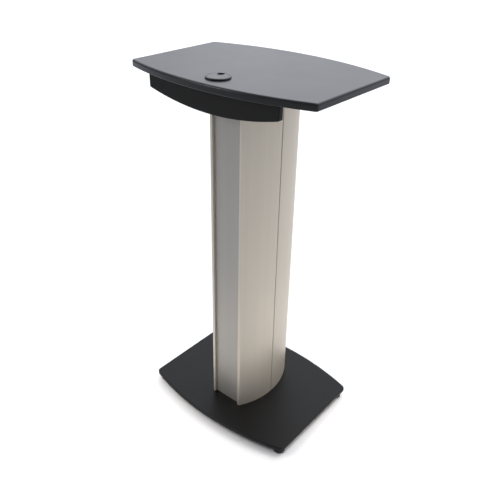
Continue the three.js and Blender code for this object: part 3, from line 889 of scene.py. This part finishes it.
def base_plate():
    low, high = box_mm("base_plate")
    z0, z1 = low[2], high[2]
    edge = slab_rings(bowed_outline("base_plate", BASE_BOW, BASE_BOW, 16), edge_profile(z0, z1, 3, 1.5))
    rows, columns = edge.shape[:2]
    screws = [node_middle(n) for n in frame["nodes"] if n.startswith("base_screw")]
    studs = [node_middle(n) for n in frame["nodes"] if n.startswith("foot_stud")]
    under = [edge[0, :, :2]]
    under += [circle(c, COUNTERSINK) for c in screws] + [circle(c, STUD_HOLE) for c in studs]
    over = [edge[-1, :, :2]] + [circle(c, SCREW_HOLE) for c in screws]
    sunk_hole = [(COUNTERSINK, z0), (SCREW_HOLE, z0 + COUNTERSINK_DEPTH), (SCREW_HOLE, z1)]
    blind_hole = [(STUD_HOLE, z0), (STUD_HOLE, z0 + STUD_DEPTH), (0, z0 + STUD_DEPTH)]
    shells = [(edge.reshape(-1, 3), grid_faces(rows, columns))]
    shells += [open_face(under, z0), open_face(over, z1)]
    shells += [hole_wall(c, sunk_hole) for c in screws] + [hole_wall(c, blind_hole) for c in studs]
    return make_piece("base_plate", shells, powder)


base = base_plate()
frame["nodes"]["top_plate"].data.materials.clear()
frame["nodes"]["top_plate"].data.materials.append(powder)
print(base.name, "has", len(base.data.polygons), "faces")

# %% [markdown]
# ## Cable grommet
#
# The grommet is moulded ABS with the fine spark-eroded grain that most black office fittings have.
# The grain is about 0.15 mm, and is drawn at 0.9 mm, and at 1.1 mm on the nylon feet, to show at all.
# The liner is a turning: a flange that lies on the desk, a step that holds the cap, and a barrel down
# the hole. The cap is a disc with a round-ended notch in its rim. Its outline has the notch in it, so
# one slab gives the disc, and the same easing runs along the rim and into the notch.

# %% Moulded plastic materials
def moulded_plastic(name, colours, grain, roughness):
    """A fine even grain in the bump, and a slow drift of gloss from the mould, 20 mm across."""
    material, tree, shader, place = new_material(name, IOR=1.5)
    add_drift(tree, shader, place, 0.02, 3, colours, roughness)
    eroded = add_node(tree, "ShaderNodeTexNoise", {"Vector": place, "Scale": 1 / grain, "Detail": 2})
    bump = add_node(
        tree, "ShaderNodeBump", {"Height": eroded.outputs["Fac"], "Strength": 0.15, "Distance": 0.00008}
    )
    tree.links.new(bump.outputs["Normal"], shader.inputs["Normal"])
    return material


grommet_plastic = moulded_plastic(
    "abs_spark_eroded_grain", ("#131416", "#191A1C"), 0.0009, (0.33, 0.39)
)
foot_plastic = moulded_plastic("nylon_moulded_matt", ("#141414", "#1B1B1A"), 0.0011, (0.48, 0.58))
print("made", grommet_plastic.name, "and", foot_plastic.name)

# %% Grommet liner and cap
DESK_TOP = box_mm("desktop")[1][2]
LINER_RADIUS = box_mm("grommet_liner")[1][0]
SEAT_RADIUS = 28.6
FLANGE_HEIGHT = 4.8


def grommet_liner():
    """The liner's section as radius and height above the desk, spun about its own axis."""
    outer = GROMMET_HOLE - 0.3
    inner = outer - 2.2
    section = eased([
        (inner, -17, 0.5), (outer, -17, 0.5), (outer, 0.3, 0.1), (LINER_RADIUS, 0.3, 0.2),
        (LINER_RADIUS, FLANGE_HEIGHT, 2.2), (SEAT_RADIUS, FLANGE_HEIGHT, 0.4),
        (SEAT_RADIUS, 2.2, 0.15), (inner, 2.2, 0.4),
    ], steps=6)
    return make_piece(
        "grommet_liner", [shifted(turning(section, 96), y=GROMMET_Y, z=DESK_TOP)],
        grommet_plastic,
    )


print("made", grommet_liner().name)

# %% Grommet cap
CAP_RADIUS, CAP_UNDERSIDE = 28.3, 2.5
NOTCH_HALF, NOTCH_INNER = 8.5, 9
SKIRT_OUTER, SKIRT_INNER, SKIRT_END = 22.7, 20.9, -5
SKIRT_RINGS = 73
CAP_TURN = 112


def cap_outline(radius, notch_half, notch_inner):
    """Anticlockwise from one side of the notch round to the other, then in along a straight side,
    round the notch's end and out again. The notch points along +X."""
    mouth = math.asin(notch_half / radius)
    end = notch_inner + notch_half
    return np.vstack([
        arc_points((0, 0), radius, mouth, TAU - mouth, 96),
        arc_points((end, 0), notch_half, -math.pi / 2, -3 * math.pi / 2, 20),
    ])


def turned_round(shell, degrees):
    """Turns a shell about Z: x cos a minus y sin a, and x sin a plus y cos a."""
    points, faces = shell
    c, s = math.cos(math.radians(degrees)), math.sin(math.radians(degrees))
    return points @ np.array([[c, s, 0], [-s, c, 0], [0, 0, 1]]), faces


def grommet_cap():
    """The disc, and under it a skirt that is cut away where the notch is."""
    disc = slab(
        cap_outline(CAP_RADIUS, NOTCH_HALF, NOTCH_INNER),
        edge_profile(CAP_UNDERSIDE, FLANGE_HEIGHT, 0.9, 0.2, steps=5)[1:-1],
    )
    gap = math.asin(NOTCH_HALF / SKIRT_OUTER) + 0.02
    angle = np.linspace(gap, TAU - gap, SKIRT_RINGS)[:, None]
    r = np.array([SKIRT_OUTER, SKIRT_OUTER, SKIRT_INNER, SKIRT_INNER])
    z = np.array([SKIRT_END, CAP_UNDERSIDE, CAP_UNDERSIDE, SKIRT_END])
    rings = np.stack([np.cos(angle) * r, np.sin(angle) * r, np.ones_like(angle) * z], -1)
    ends = [[0, 1, 2, 3], [(SKIRT_RINGS - 1) * 4 + k for k in range(4)]]
    skirt = (rings.reshape(-1, 3), grid_faces(SKIRT_RINGS, 4) + ends)
    shells = [shifted(turned_round(shell, CAP_TURN), y=GROMMET_Y, z=DESK_TOP) for shell in (disc, skirt)]
    return make_piece("grommet_cap", shells, grommet_plastic)


print("made", grommet_cap().name)

# %% [markdown]
# ## Zinc-plated steel
#
# Screws, studs and brackets are zinc plated. Bright zinc is a grey metal with a faint blue and yellow
# cast from the passivation bath, in patches a few millimetres wide, and it is never quite mirror
# smooth because the parts tumble in a barrel. The fascia's two brackets keep their CAD shape and only
# take this finish.

# %% Zinc material
def bright_zinc():
    material, tree, shader, place = new_material("bright_zinc_plate", Metallic=1)
    add_drift(tree, shader, place, 0.006, 3, ("#B3B8BE", "#C4C1B4"), (0.26, 0.38))
    return material


zinc = bright_zinc()
for node in ("fascia_bracket_left", "fascia_bracket_right"):
    frame["nodes"][node].data.materials.clear()
    frame["nodes"][node].data.materials.append(zinc)
print("made", zinc.name)

# %% [markdown]
# ## Feet
#
# A foot is a moulded pad on a threaded stud. The pad has a domed shoulder, and a broken edge where it
# meets the floor. The stud has a hexagon above the pad for a spanner, with its corners turned off at 30
# degrees, as on every bolt. A thread needs no modelling by hand: it is a turning whose radius is a
# zigzag of height over pitch, shifted by one pitch for each turn of the angle.

# %% Thread and hexagon
ANGLES = np.arange(ROUND_STEPS) * TAU / ROUND_STEPS


def thread(radius, depth, pitch, low, high, run_out=0.0):
    """Ring heights go up by an eighth of the pitch. Radius is radius less depth times a zigzag,
    from 0 to 1 and back, of height over pitch less angle over a turn. Near each end the depth
    fades over run_out."""
    height = np.linspace(low, high, max(2, int((high - low) / pitch * 8) + 1))
    phase = (height[:, None] / pitch - ANGLES[None] / TAU) % 1
    zigzag = np.abs(2 * phase - 1)
    fade = np.clip(np.minimum(height - low, high - height) / max(run_out, 1e-6), 0, 1)[:, None]
    return radius - depth * zigzag * fade, np.repeat(height[:, None], ROUND_STEPS, 1)


def hexagon_radius(across_flats):
    """Distance from the axis to a hexagon's side: half the width across flats, divided by the
    cosine of the angle from the nearest flat's middle."""
    return across_flats / 2 / np.cos((ANGLES + TAU / 12) % (TAU / 6) - TAU / 12)


def as_rings(values):
    """A number or one value for each angle becomes one ring, and whole rings stay as they are."""
    return values if np.ndim(values) == 2 else np.broadcast_to(values, (1, ROUND_STEPS))


def spun(rows):
    """A shell from rows of radius and height, at the angles of ANGLES."""
    r = np.vstack([as_rings(radius) for radius, _ in rows])
    z = np.vstack([as_rings(height) for _, height in rows])
    points = np.stack([r * np.cos(ANGLES), r * np.sin(ANGLES), z], -1)
    return points.reshape(-1, 3), grid_faces(len(r), ROUND_STEPS)


print("an M10 thread has", len(thread(4.7, 0.7, 1.5, 0, 15)[0]), "rings in 15 mm")

# %% Feet
def foot_pad(node):
    middle = node_middle(node)
    low, high = box_mm(node)
    radius, top = (high[1] - low[1]) / 2, high[2]
    section = eased([
        (0, 0, 0), (radius - 1, 0, 0.6), (radius, 1.6, 0.8), (radius, 9.5, 1.6), (11.5, top, 1.2),
        (5, top, 0.4), (5, 7.7, 0.2), (0, 7.7, 0),
    ], closed=False, steps=6)
    return make_piece(
        node, [shifted(turning(section, 64, closed=False), x=middle[0], y=middle[1])],
        foot_plastic,
    )


def foot_stud(node):
    """Rod and hexagon in one: the chamfer lowers each corner of the hexagon by its distance beyond
    the turned circle, times the tangent of 30 degrees."""
    middle = node_middle(node)
    low, high = box_mm(node)
    rod, flats, z0, z1 = 4.7, 17, 14.3, 22.2
    corner = hexagon_radius(flats)
    face = flats / 2 * 0.98
    turned_off = (corner - face).clip(0) * math.tan(math.radians(30))
    rows = [(0, low[2]), (rod - 0.5, low[2]), (rod, low[2] + 0.5), (rod, z0), (face, z0)]
    rows += [(corner, z0 + turned_off), (corner, z1 - turned_off), (face, z1), (rod, z1)]
    rows += [thread(rod, 0.75, 1.5, z1, high[2] - 0.6), (4.0, high[2]), (0, high[2])]
    return make_piece(node, [shifted(spun(rows), x=middle[0], y=middle[1])], zinc)


feet = [foot_pad(node) for node in list(frame["nodes"]) if node.startswith("foot_pad")]
feet += [foot_stud(node) for node in list(frame["nodes"]) if node.startswith("foot_stud")]
print("made", len(feet), "pieces of the feet")

# %% [markdown]
# ## Screws
#
# Countersunk screws hold the column to its two plates, and pan-head wood screws hold the desk and the
# fascia. Both have a hexagon socket. Each is one grid of rings from the middle of the socket's floor,
# over the head and down the thread to the tip, made along +Z and then laid along its CAD node.

# %% Screws
def countersunk_screw(length):
    socket = hexagon_radius(4.0)
    return spun([
        (0, 2.0), (socket, 2.0), (socket, 0.2), (socket + 0.2, 0), (6.0, 0), (6.2, 0.25), (6.0, 0.5),
        (2.5, 3.5), thread(2.4, 0.4, 0.8, 3.6, length - 1, 0.8), (1.5, length), (0, length),
    ])


def pan_head_screw(length):
    socket = hexagon_radius(3.0)
    return spun([
        (0, 1.4), (socket, 1.4), (socket, 0.15), (socket + 0.15, 0), (2.6, 0), (3.4, 0.2), (4.0, 0.7),
        (4.3, 1.4), (4.4, 2.0), (4.2, 2.2), (1.95, 2.2),
        thread(1.9, 0.55, 1.3, 2.4, length - 3, 0.9), (0.9, length - 1.4), (0, length),
    ])


def lay_screw(node, make, direction):
    """Makes a screw as long as its node's box along one axis, and turns +Z to that axis. The head
    sits at the end the screw comes from."""
    low, high = box_mm(node)
    axis = int(np.argmax(np.abs(direction)))
    points, faces = make(high[axis] - low[axis])
    x, y, z = points.T
    turned_points = {
        (0, 0, 1): np.stack([x, y, z], -1),
        (0, 0, -1): np.stack([x, -y, -z], -1),
        (0, -1, 0): np.stack([x, -z, y], -1),
    }[direction]
    head = (low + high) / 2
    head[axis] = low[axis] if direction[axis] > 0 else high[axis]
    return make_piece(node, [(turned_points + head, faces)], zinc)


SCREWS = {
    "base_screw": (countersunk_screw, (0, 0, 1)),
    "top_plate_screw": (countersunk_screw, (0, 0, -1)),
    "desk_screw": (pan_head_screw, (0, 0, 1)),
    "bracket_screw": (pan_head_screw, (0, 0, 1)),
    "fascia_screw": (pan_head_screw, (0, -1, 0)),
}
laid = [
    lay_screw(node, *recipe)
    for start, recipe in SCREWS.items()
    for node in list(frame["nodes"]) if node.startswith(start)
]
print("laid", len(laid), "screws")
